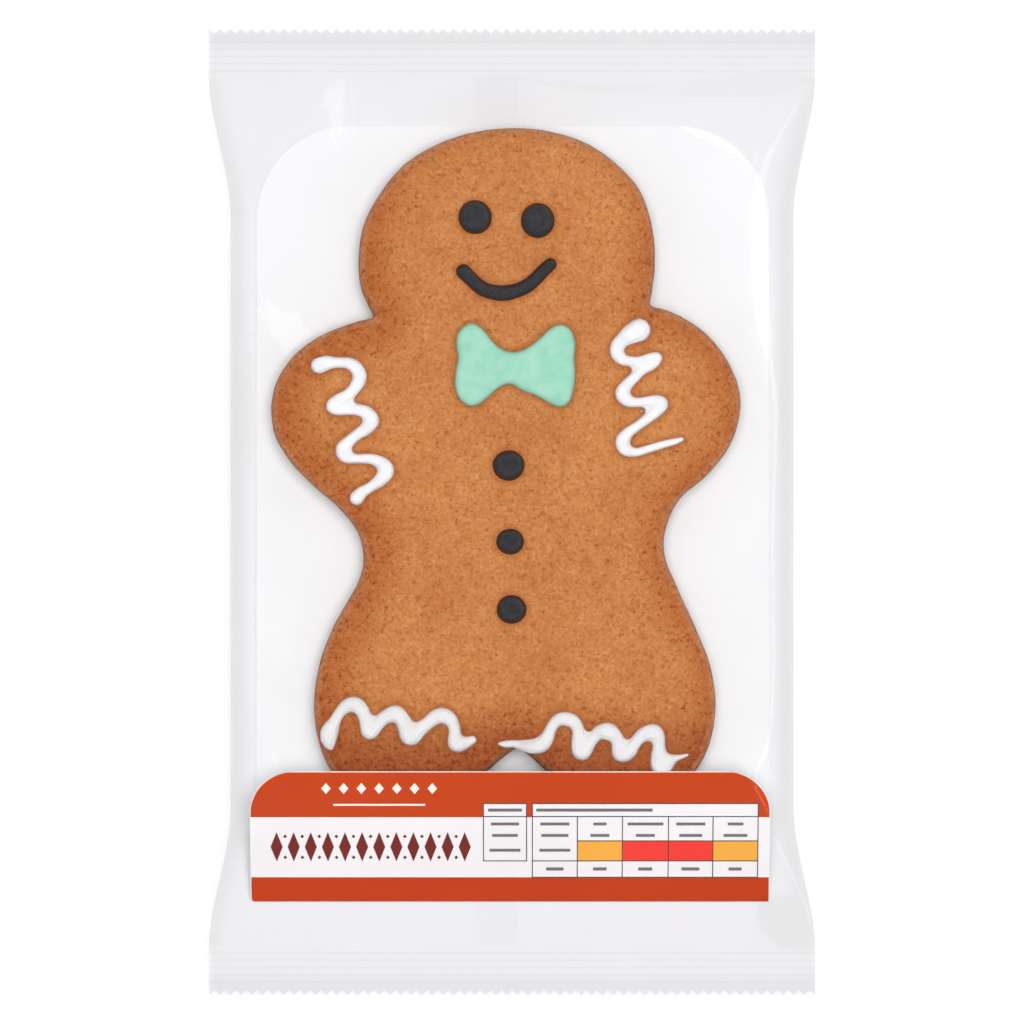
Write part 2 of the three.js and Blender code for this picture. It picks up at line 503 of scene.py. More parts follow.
# The icing's foot is painted dark: painted contact shade where it meets the crumb.
def icingFinish(name):
    look = icingLooks[name]
    material, tree, out, at = newFinish(name)
    cloud = noiseAt(tree, at, look["patchScale"], 3.0, 0.55)
    fine = noiseAt(tree, at, 3.2, 2.0)
    level = addNode(tree, "ShaderNodeAttribute", attribute_name="level").outputs["Fac"]
    body = mixed(tree, ranged(tree, cloud, 0.36, 0.66), look["colour"], look["patches"])
    # painted shade down the icing's sides, up to sideReach
    onSide = ranged(tree, level, 0.2, look["sideReach"], 1.0, 0.0, "SMOOTHSTEP")
    # painted contact shade at the icing's foot
    footShaded = ranged(tree, level, 0.08, 0.3, 0.8, 0.0, "SMOOTHSTEP")
    body = mixed(tree, footShaded, mixed(tree, onSide, body, look["sides"]), icingFootShadeTone)
    rough = ranged(tree, fine, 0.3, 0.7, look["roughness"] - 0.06, look["roughness"] + 0.08)
    closeFinish(tree, out, body, rough, bumped(tree, fine, 0.03, 0.5), 0.4)
    return material


icingFinishes = {name: icingFinish(name) for name in icingLooks}

piping = {
    "step": 0.22,      # distance between two blobs along the bead
    "swell": 0.36,     # what evening out takes off the width
    "easing": 8,
    "webbing": 0.85,   # how far the icing fills the notches between two strokes
    "flare": 0.16,     # how far the foot spreads
    "rise": 0.62,      # height over half the width
    "sink": 0.25,      # how far it sits into the crumb
    "grain": 0.17,
}
# Each bead: where the nozzle went, and the bead's width there
beads = {
    "smile": [
        (-10.0, 49.6, 2.7), (-8.7, 48.3, 2.5), (-7.1, 46.8, 2.5), (-5.3, 45.7, 2.6), (-3.1, 45.2, 2.8),
        (-1.1, 45.2, 2.8), (1.0, 45.7, 2.6), (3.2, 46.7, 2.5), (5.0, 48.2, 2.4), (6.4, 49.7, 2.3),
        (7.9, 51.1, 2.2),
    ],
    "leftSleeve": [
        (-39.8, 30.2, 3.1), (-38.3, 30.7, 2.8), (-36.7, 30.8, 2.0), (-35.2, 30.8, 1.9), (-33.5, 30.6, 2.2),
        (-32.0, 29.5, 2.6), (-31.4, 27.8, 2.7), (-32.2, 25.9, 2.4), (-33.6, 24.3, 2.2), (-35.7, 23.0, 2.5),
        (-36.8, 21.8, 2.9), (-35.8, 21.2, 2.3), (-33.8, 21.1, 1.9), (-31.5, 21.0, 2.2), (-29.7, 20.2, 2.6),
        (-29.0, 18.8, 3.0), (-30.0, 17.3, 2.5), (-32.0, 15.9, 2.0), (-33.6, 14.5, 2.2), (-34.9, 12.9, 2.8),
        (-34.4, 11.5, 2.4), (-32.3, 11.0, 1.7), (-29.7, 11.0, 1.8), (-27.7, 10.5, 2.2), (-26.1, 9.3, 2.8),
        (-26.0, 8.3, 3.1), (-27.1, 6.7, 2.5), (-29.1, 5.2, 1.8), (-30.9, 4.1, 2.2), (-32.0, 2.9, 2.7),
    ],
    "rightSleeve": [
        (26.2, 37.5, 4.6), (24.6, 36.7, 3.9), (23.0, 35.6, 2.9), (21.7, 34.3, 2.5), (21.6, 32.9, 2.6),
        (22.7, 31.5, 2.2), (24.5, 31.1, 1.7), (26.5, 31.1, 1.8), (28.3, 31.5, 2.2), (29.9, 31.8, 2.0),
        (28.9, 30.6, 2.2), (27.0, 29.4, 1.9), (25.2, 27.7, 1.9), (23.4, 25.8, 2.3), (22.8, 24.4, 2.9),
        (23.7, 22.9, 2.1), (25.7, 22.6, 1.7), (27.6, 22.8, 1.7), (29.7, 22.8, 2.4), (30.7, 22.3, 2.8),
        (29.7, 20.8, 2.3), (28.1, 19.4, 1.9), (26.0, 17.8, 1.7), (23.8, 16.2, 2.1), (22.8, 14.5, 2.8),
        (23.3, 12.9, 2.3), (25.2, 12.3, 1.6), (28.1, 13.0, 1.4), (31.0, 13.9, 1.3), (33.4, 14.5, 1.1),
        (35.0, 15.0, 0.6),
    ],
    "leftCuff": [
        (-37.4, -48.6, 0.9), (-37.7, -47.5, 2.4), (-37.8, -46.2, 3.4), (-37.5, -45.1, 3.3),
        (-36.7, -43.5, 2.3), (-35.7, -41.7, 2.0), (-34.2, -40.1, 2.5), (-32.6, -39.7, 3.1),
        (-31.2, -40.5, 2.8), (-30.3, -42.4, 2.6), (-29.8, -44.2, 2.9), (-29.3, -45.2, 3.3),
        (-27.8, -43.8, 2.6), (-26.1, -42.3, 2.6), (-24.0, -41.6, 3.3), (-22.7, -42.6, 3.0),
        (-21.8, -44.5, 3.3), (-20.9, -46.1, 4.0), (-19.2, -44.9, 3.0), (-17.3, -43.5, 2.5),
        (-15.6, -42.2, 2.9), (-14.3, -42.0, 3.1), (-12.8, -42.7, 2.7), (-11.9, -44.5, 2.2),
        (-11.8, -45.9, 2.4), (-11.4, -47.7, 3.4), (-10.0, -47.7, 2.4), (-8.2, -47.0, 1.5),
    ],
    "rightCuff": [
        (-2.6, -47.8, 0.3), (-1.4, -47.9, 1.2), (0.1, -47.8, 1.4), (1.6, -48.0, 2.0), (3.2, -48.3, 2.7),
        (4.7, -48.3, 3.1), (6.2, -47.8, 3.2), (7.3, -46.5, 2.6), (7.9, -45.0, 2.1), (8.7, -43.6, 2.1),
        (9.9, -42.7, 2.4), (11.2, -42.7, 2.7), (12.6, -43.2, 2.6), (13.6, -44.5, 2.2), (13.8, -46.2, 2.6),
        (13.9, -48.0, 3.2), (14.4, -49.3, 3.7), (15.8, -47.7, 2.7), (16.9, -46.5, 2.2), (18.2, -45.3, 2.6),
        (19.9, -45.3, 3.5), (21.3, -46.2, 2.7), (22.0, -47.7, 2.7), (22.5, -49.7, 3.5), (23.9, -49.4, 3.2),
        (25.0, -48.2, 2.4), (26.3, -46.5, 2.4), (27.8, -45.6, 3.0), (29.4, -45.5, 3.2), (30.3, -46.8, 2.3),
        (30.3, -48.3, 2.3), (30.4, -50.5, 3.4), (30.9, -52.2, 4.2), (32.0, -51.5, 3.0), (33.3, -50.9, 1.4),
        (34.8, -50.5, 0.7), (36.2, -50.1, 0.2),
    ],
}


def crumbTop(x, y):
    around = [(0, 0), (0.8, 0), (-0.8, 0), (0, 0.8), (0, -0.8)]
    heights = [heightFrom(biscuitTree, x + dx, y + dy, -1) for dx, dy in around]
    found = [height for height in heights if height > biscuit["rest"] + 5]
    return sum(found) / len(found) if found else biscuit["rest"] + biscuit["thickness"] - 0.5


# Spreads the foot of a piece of icing over the crumb and notes how high every point lies over it.
def settleFoot(piece):
    points = pointsOf(piece)
    normals = normalsOf(piece)
    crumb = np.array([heightFrom(biscuitTree, x, y, -9) for x, y in points[:, :2]])
    crumb = np.where(crumb > biscuit["rest"] + 5, crumb, points[:, 2] - 0.4)
    level = points[:, 2] - crumb
    flare = piping["flare"] * (1 - smoothStep(level, 0.0, 0.35))
    points[:, :2] += normals[:, :2] * flare[:, None]
    movePoints(piece, points)
    giveNumber(piece, "level", level)


# A bead is a row of flattened blobs melted into one.
def pipeBead(name, icingName):
    run = smoothRun(beads[name], piping["step"])
    ball = bmesh.new()
    bmesh.ops.create_icosphere(ball, subdivisions=2, radius=1.0)
    ballPoints = np.array([v.co for v in ball.verts])
    ballPoints[:, 2] *= np.sqrt(2 - ballPoints[:, 2] ** 2)  # flatter on top than a ball
    ballFaces = [[v.index for v in face.verts] for face in ball.faces]
    ball.free()
    points = []
    faces = []
    for x, y, width in run:
        start = len(points) * len(ballPoints)
        half = (width + piping["swell"]) / 2
        rise = piping["rise"] * half + 0.25
        size = np.array([half, half, rise + piping["sink"]]) + piping["webbing"]
        points.append(ballPoints * size + (x, y, crumbTop(x, y) - piping["sink"]))
        faces.extend([start + i for i in face] for face in ballFaces)
    piece = newPiece(name, np.vstack(points), faces, [icingFinishes[icingName]])
    evenOut(piece, piping["grain"], piping["easing"])
    movePoints(piece, pointsOf(piece) - piping["webbing"] * normalsOf(piece))
    settleFoot(piece)
    assignPiece(piece)
    return piece


drops = {
    "leftEye": {"at": (-7.6, 60.8), "wide": 6.7, "tall": 6.8, "rise": 1.5, "dish": 0.1},
    "rightEye": {"at": (5.3, 60.1), "wide": 6.7, "tall": 7.0, "rise": 1.5, "dish": 0.1},
    "topButton": {"at": (-0.7, 9.6), "wide": 6.4, "tall": 6.1, "rise": 1.4, "dish": 0.28},
    "middleButton": {"at": (-0.4, -6.1), "wide": 5.5, "tall": 5.1, "rise": 1.3, "dish": 0.34},
    "lowButton": {"at": (-0.1, -20.1), "wide": 5.9, "tall": 5.7, "rise": 1.3, "dish": 0.3},
}
# What all drops share: points round them and up their edge, how far the edge rolls in, and how
# uneven their outline and their top are
dropShape = {"around": 64, "levels": 12, "rolled": 0.36, "wobble": 0.022, "swell": 0.08}


# A drop spreads to a low round cake with a rolled edge and a faint dish in its middle.
def dropIcing(name, drop):
    around = dropShape["around"]
    levels = dropShape["levels"]
    profile = []
    for step in range(levels + 1):
        turn = math.pi * (step / levels) / 2
        profile.append((1 - dropShape["rolled"] * (1 - math.cos(turn)), math.sin(turn)))
    for share in (0.5, 0.36, 0.22, 0.1):
        profile.append((share, 1.0))
    x0, y0 = drop["at"]
    base = crumbTop(x0, y0) - piping["sink"]
    points = []
    for reach, level in profile:
        for step in range(around):
            angle = 2 * math.pi * step / around
            where = (math.cos(angle) * 1.3 + x0, math.sin(angle) * 1.3 + y0, 0.4)
            wobble = 1 + dropShape["wobble"] * noise.noise(where)
            x = reach * wobble * math.cos(angle) * drop["wide"] / 2
            y = reach * wobble * math.sin(angle) * drop["tall"] / 2
            dish = drop["dish"] * (1 - smoothStep(reach, 0.15, 0.62))
            swell = dropShape["swell"] * noise.noise(((x + x0) / 2.2, (y + y0) / 2.2, 3.1))
            lift = level * (drop["rise"] + piping["sink"]) - dish + level * swell
            points.append((x0 + x, y0 + y, base + lift))
    points.append((x0, y0, base + drop["rise"] + piping["sink"] - drop["dish"]))
    points.append((x0, y0, base))
    rings = len(profile)
    faces = ringFaces(rings, around)
    for step in range(around):
        beside = (step + 1) % around
        faces.append([(rings - 1) * around + step, (rings - 1) * around + beside, rings * around])
        faces.append([beside, step, rings * around + 1])
    piece = newPiece(name, points, faces, [icingFinishes["blackIcing"]])
    settleFoot(piece)
    assignPiece(piece)
    return piece


bowTie = {
    "outline": [
        (-11.5, 35.2), (-10.8, 37.4), (-8.4, 38.9), (-6.2, 37.8), (-4.2, 35.4), (-2.5, 33.8), (0.0, 32.9),
        (2.7, 33.6), (5.5, 35.6), (7.9, 37.8), (10.1, 38.6), (12.0, 37.6), (13.0, 35.0), (12.8, 31.6),
        (13.0, 29.0), (12.6, 25.0), (11.6, 22.5), (10.1, 21.7), (8.3, 22.2), (5.1, 23.9), (2.3, 25.0),
        (-0.3, 26.4), (-2.5, 25.8), (-5.2, 23.5), (-6.8, 22.3), (-8.6, 21.9), (-10.6, 23.1), (-11.7, 25.8),
        (-11.6, 29.0), (-11.1, 31.8),
    ],
    "rise": 1.35,
    "pool": 0.16,           # how uneven its top is
    "ripple": 0.05,
    "grain": 0.2,
}


def makeBowTie():
    outline = smoothRun(bowTie["outline"], 0.3, closed=True)[::-1]
    rise = bowTie["rise"]
    profile = [
        (0.0, -0.5), (0.0, 0.3 * rise), (0.18, 0.62 * rise),
        (0.5, 0.85 * rise), (0.95, 0.97 * rise), (1.5, rise),
    ]
    points, faces = stackedRings(outline, profile)
    piece = newPiece("bowTie", points, faces, [icingFinishes["mintIcing"]])
    evenOut(piece, bowTie["grain"], 5)
    points = pointsOf(piece)
    for index, (x, y, z) in enumerate(points):
        upper = min(max(z / rise, 0), 1)
        pool = bowTie["pool"] * noise.noise((x / 4.5, y / 4.5, 1.7))
        pool += bowTie["ripple"] * noise.noise((x / 1.6, y / 1.6, 5.2))
        points[index, 2] = z + upper * pool + crumbTop(x, y)
    movePoints(piece, points)
    settleFoot(piece)
    assignPiece(piece)
    return piece


icing = [makeBowTie()]
icing += [dropIcing(name, drop) for name, drop in drops.items()]
icing.append(pipeBead("smile", "blackIcing"))
icing += [pipeBead(name, "whiteIcing") for name in ("leftSleeve", "rightSleeve")]
icing += [pipeBead(name, "shadedCuffIcing") for name in ("leftCuff", "rightCuff")]


# The crumb is painted a little darker right beside the icing: painted contact shade.
def shadeCrumbBesideIcing():
    low = []
    for piece in icing:
        levels = np.empty(len(piece.data.vertices))
        piece.data.attributes["level"].data.foreach_get("value", levels)
        low.append(pointsOf(piece)[np.abs(levels) < 0.25][::3])
    low = np.vstack(low)
    feet = KDTree(len(low))
    for index, point in enumerate(low):
        feet.insert(point, index)
    feet.balance()
    gap = np.array([feet.find(point)[2] for point in pointsOf(gingerbreadMan)])
    giveNumber(gingerbreadMan, "icingContactShade", np.exp(-(gap / biscuit["contactShadeReach"]) ** 2))


shadeCrumbBesideIcing()
print("icing piped:", len(icing), "pieces")


# The card lies under the biscuit and is folded up in front of its feet.
card = {
    "left": -53.0, "right": 53.4,   # its back
    "top": 80.0,
    "cornerRadius": 19.5,
    "rest": 0.12,                   # height of its underside
    "board": 0.34,                  # thickness
    "fold": -80.2,
    "foldRadius": 0.55,
    "flapLeft": -54.1, "flapRight": 53.3,
    "flapTop": -53.5,
    "flapHeight": 11.3,             # height of the flap's upper edge
    "flapCorner": (9.3, 8.6),
    "bandTop": -63.0,               # lower edge of the upper band
    "bandFoot": -75.6,              # upper edge of the lower band
    "bleed": 0.14,                  # white left by the cutter round the bands
    "roughness": 0.5,
    "backStep": 4.0, "flapStep": 1.5, "columnStep": 3.0,
    "cornerParts": 28, "flapCornerParts": 16, "foldParts": 8,
}
table = {
    "columns": [4.2, 13.5, 22.8, 32.3, 41.5, 50.8],
    "rows": [-60.15, -62.85, -67.95, -72.15, -75.6],
    "sideColumns": [-5.9, 3.0],
    "line": 0.22,
    "lights": ["amber", "red", "red", "amber"],
}
inks = {
    "board": tone(246, 247, 248),
    # the same board painted lighter and a little warmer on the flap: painted light, as the flap tilts away
    # from the lamp
    "litFlapBoard": tone(251, 247, 248),
    "bandInk": tone(204, 70, 22),
    "footInk": tone(201, 63, 17),
    "amber": tone(253, 180, 74),
    "red": tone(250, 67, 56),
    "lineInk": tone(75, 70, 72),
    "titleInk": tone(122, 44, 38),
    "creamInk": tone(253, 246, 234),
    "greyInk": tone(120, 116, 120),
}


def boardFinish(name, colour):
    material, tree, out, at = newFinish(name)
    fibre = noiseAt(tree, at, 2.4, 4.0, 0.6)
    cloud = noiseAt(tree, at, 0.05, 2.0)
    darker = tuple(c * 0.975 for c in colour[:3]) + (1.0,)
    body = mixed(tree, ranged(tree, cloud, 0.35, 0.65), colour, darker)
    body = mixed(tree, 1.0, body, ranged(tree, fibre, 0.3, 0.7, 0.985, 1.01), "MULTIPLY")
    closeFinish(tree, out, body, card["roughness"], bumped(tree, fibre, 0.012, 0.4), 0.08)
    return material


inkOrder = list(inks)
inkFinishes = [boardFinish(name, colour) for name, colour in inks.items()]


def flapHeightAt(y):
    share = np.clip((y - card["fold"]) / (card["flapTop"] - card["fold"]), 0, 1)
    low = card["rest"] + 2 * card["foldRadius"]
    return low + (card["flapHeight"] - low) * (share + 0.1 * np.sin(math.pi * share))


def nearLine(place, lines):
    return any(abs(place - line) < table["line"] / 2 for line in lines)


def inkAt(x, y):
    columns = table["columns"]
    rows = table["rows"]
    half = table["line"] / 2
    side = table["sideColumns"]
    inTable = columns[0] - half < x < columns[-1] + half and rows[4] - half < y < rows[0] + half
    inSide = side[0] - half < x < side[1] + half and rows[3] - half < y < rows[0] + half
    if inTable:
        onColumn = nearLine(x, (columns[0], columns[-1]))
        onInner = y < rows[1] and nearLine(x, columns[1:-1])
        onRow = nearLine(y, (rows[0], rows[1], rows[3], rows[4]))
        onLights = nearLine(y, (rows[2],)) and x > columns[1] - half
        if onColumn or onInner or onRow or onLights:
            return "lineInk"
        if rows[3] < y < rows[2] and x > columns[1]:
            cell = sum(x > line for line in columns[1:-1]) - 1
            return table["lights"][cell]
        return "litFlapBoard"
    if inSide:
        onLine = nearLine(x, side) or nearLine(y, (rows[0], rows[1], rows[3]))
        return "lineInk" if onLine else "litFlapBoard"
    if y > card["bandTop"]:
        return "bandInk"
    if y < card["bandFoot"]:
        return "footInk"
    return "litFlapBoard"


def withSteps(stops, longest):
    lines = []
    for low, high in zip(stops, stops[1:]):
        parts = max(1, math.ceil((high - low) / longest))
        lines += [low + (high - low) * k / parts for k in range(parts)]
    return lines + [stops[-1]]


def both(lines, half):
    return sorted(line + sign * half for line in lines for sign in (-1, 1))


def cornerReach(y, top, width, height):
    if y <= top - height:
        return 0.0
    share = min(1.0, (y - (top - height)) / height)
    return width * (1 - math.sqrt(max(0.0, 1 - share * share)))


# Heights that divide a round corner evenly by its turn
def cornerLines(top, tall, parts):
    return [top - tall * (1 - math.sin(math.pi / 2 * k / parts)) for k in range(parts + 1)]


# The card's rows: up the back, round the fold, up the flap. Each is (y, z, left, right, printed).
def cardRows():
    rows = []
    radius = card["cornerRadius"]
    back = withSteps([card["fold"], card["top"] - radius], card["backStep"])
    for y in reversed(back[:-1] + cornerLines(card["top"], radius, card["cornerParts"])):
        reach = cornerReach(y, card["top"], radius, radius)
        rows.append((y, card["rest"], card["left"] + reach, card["right"] - reach, False))
    parts = card["foldParts"]
    for step in range(1, parts):
        turn = math.pi * step / parts
        out = card["foldRadius"] * math.sin(turn)
        lift = card["foldRadius"] * (1 - math.cos(turn))
        left = card["left"] + (card["flapLeft"] - card["left"]) * step / parts
        rows.append((card["fold"] - out, card["rest"] + lift, left, card["flapRight"], step >= parts / 2))
    wide, tall = card["flapCorner"]
    stops = [card["fold"], card["bandTop"], card["bandFoot"], card["flapTop"] - card["bleed"]]
    stops += both(table["rows"], table["line"] / 2)
    stops += cornerLines(card["flapTop"], tall, card["flapCornerParts"])
    for y in withSteps(sorted(set(round(stop, 3) for stop in stops)), card["flapStep"]):
        reach = cornerReach(y, card["flapTop"], wide, tall)
        height = float(flapHeightAt(y))
        rows.append((y, height, card["flapLeft"] + reach, card["flapRight"] - reach, True))
    return rows


def cardColumns():
    left, right, bleed = card["flapLeft"], card["flapRight"], card["bleed"]
    lines = sorted(set(both(table["columns"] + table["sideColumns"], table["line"] / 2)))
    inner = withSteps([left, *lines, right], card["columnStep"])[1:-1]
    return [left, left + bleed, *inner, right - bleed, right]


# One sheet, the card's outer face, which is then given its thickness.
def makeCard():
    bleed = card["bleed"]
    rows = cardRows()
    columns = cardColumns()
    points = []
    for y, z, left, right, _ in rows:
        inner = [min(max(x, left + bleed), right - bleed) for x in columns[1:-1]]
        points += [(x, y, z) for x in (left, *inner, right)]
    width = len(columns)
    faces = []
    slots = []
    for row in range(len(rows) - 1):
        printed = rows[row][4] and rows[row + 1][4]
        middleY = (rows[row][0] + rows[row + 1][0]) / 2
        for column in range(width - 1):
            here = row * width + column
            faces.append([here, here + 1, here + width + 1, here + width])
            middleX = (columns[column] + columns[column + 1]) / 2
            inked = printed and 0 < column < width - 2 and middleY < card["flapTop"] - bleed
            slots.append(inkOrder.index(inkAt(middleX, middleY)) if inked else 0)
    piece = newPiece("foldedCard", points, faces, inkFinishes, smooth=False)
    piece.data.polygons.foreach_set("material_index", slots)
    work = bmesh.new()
    work.from_mesh(piece.data)
    bmesh.ops.remove_doubles(work, verts=work.verts, dist=0.004 * mm)
    bmesh.ops.dissolve_degenerate(work, edges=work.edges, dist=0.004 * mm)
    bmesh.ops.recalc_face_normals(work, faces=work.faces)
    work.to_mesh(piece.data)
    work.free()
    printedFaces = len(piece.data.polygons)
    solid = piece.modifiers.new("board", "SOLIDIFY")
    solid.thickness = card["board"] * mm
    solid.offset = -1
    settle(piece)
    for polygon in piece.data.polygons:
        polygon.use_smooth = False
        if polygon.index >= printedFaces:
            polygon.material_index = 0
    assignPiece(piece)
    return piece


# What is printed on the flap besides its fields of colour: plain bars and lozenges. A row of bars
# has the y of its middle and the height of its bars.
rowsOfBars = {
    "heading": (-61.5, 0.62),
    "name": (-64.4, 0.6),
    "amount": (-66.8, 0.6),
    "energy": (-69.9, 0.6),
    "share": (-73.85, 0.65),
}
barWidths = {
    "name": [6.0, 2.7, 7.4, 6.0, 3.2],
    "amount": [5.6, 3.9, 3.9, 4.7, 4.9],
    "share": [3.6, 2.8, 2.9, 3.7, 2.7],
    "energy": [6.4],
}
sideBarWidths = {"heading": 7.0, "name": 5.8, "amount": 5.3, "energy": 6.4}
motif = {
    "lozenges": 12, "from": -50.4, "to": -8.0, "y": -69.2, "wide": 2.5, "tall": 6.2,
    "dot": 0.8, "dotRise": 2.2,
    "cream": 7, "creamFrom": -40.2, "creamTo": -14.6, "creamY": -57.0, "creamWide": 2.0, "creamTall": 2.3,
    "creamBar": (-27.4, -60.4, 19.0, 0.4),
    "headingBar": (17.0, 24.0),
    "under": -0.03, "over": 0.07,   # how far the ink reaches under and over the board's face
}


# Each shape is its kind, the x and y of its middle, its width, its height and its ink.
def flapShapes():
    shapes = []
    columns = table["columns"]
    middles = [(a + b) / 2 for a, b in zip(columns, columns[1:])]
    side = sum(table["sideColumns"]) / 2
    for name, widths in barWidths.items():
        y, tall = rowsOfBars[name]
        shapes += [("bar", x, y, width, tall, "greyInk") for x, width in zip(middles, widths)]
    for name, width in sideBarWidths.items():
        y, tall = rowsOfBars[name]
        shapes.append(("bar", side, y, width, tall, "greyInk"))
    x, width = motif["headingBar"]
    y, tall = rowsOfBars["heading"]
    shapes.append(("bar", x, y, width, tall, "greyInk"))
    pitch = (motif["to"] - motif["from"]) / motif["lozenges"]
    for k in range(motif["lozenges"]):
        x = motif["from"] + pitch * (k + 0.5)
        shapes.append(("lozenge", x, motif["y"], motif["wide"], motif["tall"], "titleInk"))
        if k:
            for y in both([motif["y"]], motif["dotRise"]):
                shapes.append(("lozenge", x - pitch / 2, y, motif["dot"], motif["dot"], "titleInk"))
    pitch = (motif["creamTo"] - motif["creamFrom"]) / motif["cream"]
    for k in range(motif["cream"]):
        x = motif["creamFrom"] + pitch * (k + 0.5)
        shapes.append(("lozenge", x, motif["creamY"], motif["creamWide"], motif["creamTall"], "creamInk"))
    shapes.append(("bar", *motif["creamBar"], "creamInk"))
    return shapes


def makeFlapPrint():
    points = []
    faces = []
    slots = []
    for kind, x0, y0, wide, tall, ink in flapShapes():
        if kind == "bar":
            corners = [(-0.5, -0.5), (0.5, -0.5), (0.5, 0.5), (-0.5, 0.5)]
        else:
            corners = [(0, -0.5), (0.5, 0), (0, 0.5), (-0.5, 0)]
        start = len(points)
        for lift in (motif["under"], motif["over"]):
            for dx, dy in corners:
                x = x0 + dx * wide
                y = y0 + dy * tall
                points.append((x, y, float(flapHeightAt(y)) + lift))
        faces.append([start + 3, start + 2, start + 1, start])
        faces.append([start + 4, start + 5, start + 6, start + 7])
        for k in range(4):
            after = (k + 1) % 4
            faces.append([start + k, start + after, start + after + 4, start + k + 4])
        slots += [inkOrder.index(ink)] * 6
    piece = newPiece("flapPrint", points, faces, inkFinishes, smooth=False)
    piece.data.polygons.foreach_set("material_index", slots)
    assignPiece(piece)


foldedCard = makeCard()
makeFlapPrint()
print("card folded:", len(foldedCard.data.polygons), "faces")


# The film is one tube, welded across both ends and down its back.
film = {
    "toothPitch": 2.2,
    "toothDepth": 1.0,
    "sealDepth": 9.2,
    "sealGap": 0.1,         # between the two welded layers
    "grooves": 5,           # pressed across each seal
    "firstGroove": 2.7,     # distance of the outermost one from the points
    "groovePitch": 1.5,
    "grooveHalf": 0.24,
    "grooveDepth": 0.22,
    "grooveTone": 1.0,      # painted shade darkening the pressed lines
    "waistEnd": 61.0,       # distance from the middle at which the sides start to widen
    "rest": 0.1,            # height of its back over the table
    "clearance": 0.12,      # over whatever it lies on
    "puff": 0.0012,         # how strongly the air inside curves it, per millimetre
    "sideSlope": 0.75,      # of the facets down to the side edges
    "leftSoftness": 1.5,    # how round the left facet's upper edge is
    "shineSlope": 0.483,    # of the facets that catch the key lamp
    "backRounding": 6.0,
    "backEnd": 80.4,        # distance from the middle at which the back lifts towards a seal
    "rows": 151,
    "closeRows": 24,        # more of them by the head seal, where the creases are
    "sweeps": 2500,
    "stiffening": 4,        # further sweeps that even out the crumb's relief
    "gathered": 0.45,       # how far the mesh's columns crowd towards the sides
    "seed": 11,
}
# Height of the side edges along the packet
edgeHeights = [
    (-90.8, 3.6), (-80.4, 3.7), (-54.0, 4.6), (22.0, 4.6), (55.0, 4.3), (76.0, 3.8), (90.8, 3.6),
]
# How full the sides are: height of the film over its side edges, were it not for the facets
leftFullness = [(-90.8, 0.0), (-82.0, 0.6), (-70.0, 2.2), (0.0, 2.8), (66.0, 2.8), (78.0, 1.6), (90.8, 0.0)]
rightFullness = [
    (-90.8, 0.0), (-82.0, 0.6), (-70.0, 2.2), (-30.0, 2.6), (-2.0, 3.0), (12.0, 2.2), (23.0, 1.6),
    (33.0, 2.8), (44.0, 5.6), (59.5, 7.4), (66.0, 7.5), (70.7, 7.6), (76.0, 6.9), (82.2, 4.9),
    (86.0, 2.9), (90.8, 0.0),
]
# How round the right facet's upper edge is
rightSoftness = [
    (-60.0, 0.2), (-36.0, 0.1), (-10.0, 0.2), (3.0, 0.3), (14.0, 0.4), (27.0, 0.45), (44.0, 0.45),
    (90.8, 0.4),
]
# How round its lower edge is
facetSoftness = [(20.0, 0.35), (36.0, 0.5), (52.0, 1.4), (66.0, 1.2), (74.0, 0.6), (90.8, 0.4)]
# Where the outer edge of the facet that catches the key lamp runs, along the right side
rightFacet = [
    (-90.8, 50.0), (24.0, 50.0), (33.5, 54.4), (43.8, 54.0), (59.5, 53.2), (65.7, 52.6), (70.7, 53.4),
    (76.0, 55.2), (82.2, 57.6), (86.0, 58.8), (90.8, 60.0),
]
# The step down round the card's upper right corner, and how wide it is at each angle
cornerStep = {
    "centre": (33.9, 60.5), "radius": 19.5, "slope": 0.38,
    "widths": [(16, 0.0), (26, 1.1), (36, 1.2), (48, 1.8), (58, 2.2), (74, 2.2), (83, 1.3), (91, 0.0)],
}
# Lines along which the film is pulled up (or pressed in, where the height is below nothing). Each
# point is x, y, width, height.
ridges = [
    [(55.0, 85.5, 0.8, 0.0), (54.0, 83.0, 0.9, 0.4), (52.0, 76.0, 1.2, 0.5), (51.0, 68.0, 1.4, 0.3),
     (50.6, 60.0, 1.6, 0.0)],
    [(-7.1, 90.6, 0.8, 0.0), (-9.0, 87.0, 1.0, 0.05), (-12.5, 80.0, 1.4, 0.05), (-14.5, 76.0, 1.8, 0.0)],
    [(1.1, 90.6, 0.8, 0.0), (2.0, 87.0, 1.0, 0.05), (4.2, 80.0, 1.4, 0.05), (5.5, 76.0, 1.8, 0.0)],
    [(-4.0, 89.6, 0.8, 0.0), (10.0, 87.6, 0.9, -0.16), (28.0, 86.4, 1.1, -0.2), (44.0, 87.0, 1.0, -0.2),
     (60.0, 89.6, 0.8, 0.0)],
    [(-59.0, 89.4, 0.8, 0.0), (-50.0, 86.8, 0.9, -0.15), (-41.0, 87.4, 0.8, 0.0)],
    [(-52.0, -62.0, 0.8, 0.0), (-54.5, -70.0, 1.0, 0.3), (-57.5, -84.0, 1.0, 0.0)],
]
# Puckers, flat on top and tilted: their corners, which way they face, slope
puckers = [
    {"corners": [(-36.7, 90.1), (-33.6, 88.0), (-33.6, 83.5), (-33.8, 75.6), (-35.5, 75.6), (-38.5, 80.4),
                 (-40.1, 84.4), (-39.5, 87.6)],
     "faces": 0, "slope": 0.483},
    {"corners": [(-56.0, 49.5), (-38.0, 36.6), (-46.9, 30.3)], "faces": 140, "slope": 0.4},
]
